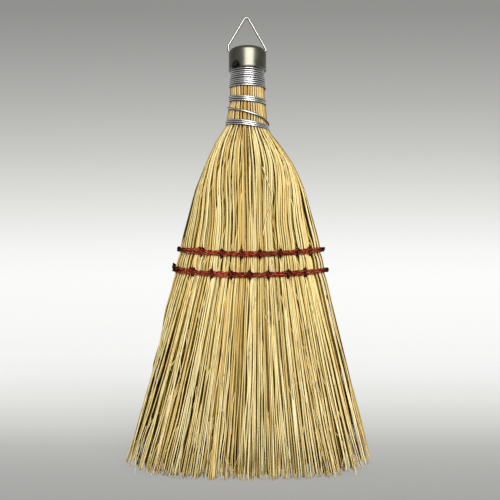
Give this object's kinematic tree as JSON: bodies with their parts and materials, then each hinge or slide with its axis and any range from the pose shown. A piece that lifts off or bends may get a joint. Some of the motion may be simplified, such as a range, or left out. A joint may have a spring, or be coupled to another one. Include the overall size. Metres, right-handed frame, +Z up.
{
  "type": "corn whisk broom",
  "caption": "Flat flared whisk broom of broomcorn with a wire-bound handle, two rows of red stitching, a tinplate cap and a swinging wire hanging ring.",
  "frame": {"origin": "bottom centre of the bounding box, on the trimmed fibre tips that the broom stands on", "axes": "+Z up the broom from the tips to the hanging ring, -Y out of the front face, +X to the right of someone who looks at the front"},
  "size_m": [0.1556, 0.0338, 0.286],
  "materials": {
    "broomcorn": "dry broomcorn stalks and fibres, straw to golden and pale green",
    "stalk_pith": "dull dry stalk butts, hidden in the handle",
    "tinplate": "drawn tinplate, bright with a slight olive tarnish",
    "tack_iron": "blued iron nail, nearly black",
    "binding_wire": "bright tinned steel wire",
    "ring_wire": "bright drawn steel wire",
    "twine": "twisted dark red cotton twine"
  },
  "bodies": {
    "broom": {"cap": "tinplate", "cap_tack": "tack_iron", "binding_wire": "binding_wire", "upper_stitching": "twine", "lower_stitching": "twine", "core_stalk_1": "stalk_pith", "core_stalk_2": "stalk_pith", "core_stalk_3": "stalk_pith", "core_stalk_4": "stalk_pith", "core_stalk_5": "stalk_pith", "core_stalk_6": "stalk_pith", "core_stalk_7": "stalk_pith", "hurl_front_01": "broomcorn", "hurl_front_02": "broomcorn", "hurl_front_03": "broomcorn", "hurl_front_04": "broomcorn", "hurl_front_05": "broomcorn", "hurl_front_06": "broomcorn", "hurl_front_07": "broomcorn", "hurl_front_08": "broomcorn", "hurl_front_09": "broomcorn", "hurl_front_10": "broomcorn", "hurl_front_11": "broomcorn", "hurl_front_12": "broomcorn", "hurl_front_13": "broomcorn", "hurl_front_14": "broomcorn", "hurl_back_01": "broomcorn", "hurl_back_02": "broomcorn", "hurl_back_03": "broomcorn", "hurl_back_04": "broomcorn", "hurl_back_05": "broomcorn", "hurl_back_06": "broomcorn", "hurl_back_07": "broomcorn", "hurl_back_08": "broomcorn", "hurl_back_09": "broomcorn", "hurl_back_10": "broomcorn", "hurl_back_11": "broomcorn", "hurl_back_12": "broomcorn", "hurl_back_13": "broomcorn", "hurl_back_14": "broomcorn"},
    "hanging_ring": {"hanging_ring": "ring_wire"}
  },
  "joints": [
    {"name": "ring_swing", "type": "hinge", "parent": "broom", "child": "hanging_ring", "pos_m": [0, 0, 0.26424], "axis": [1, 0, 0], "range_deg": [-64, 64]}
  ]
}
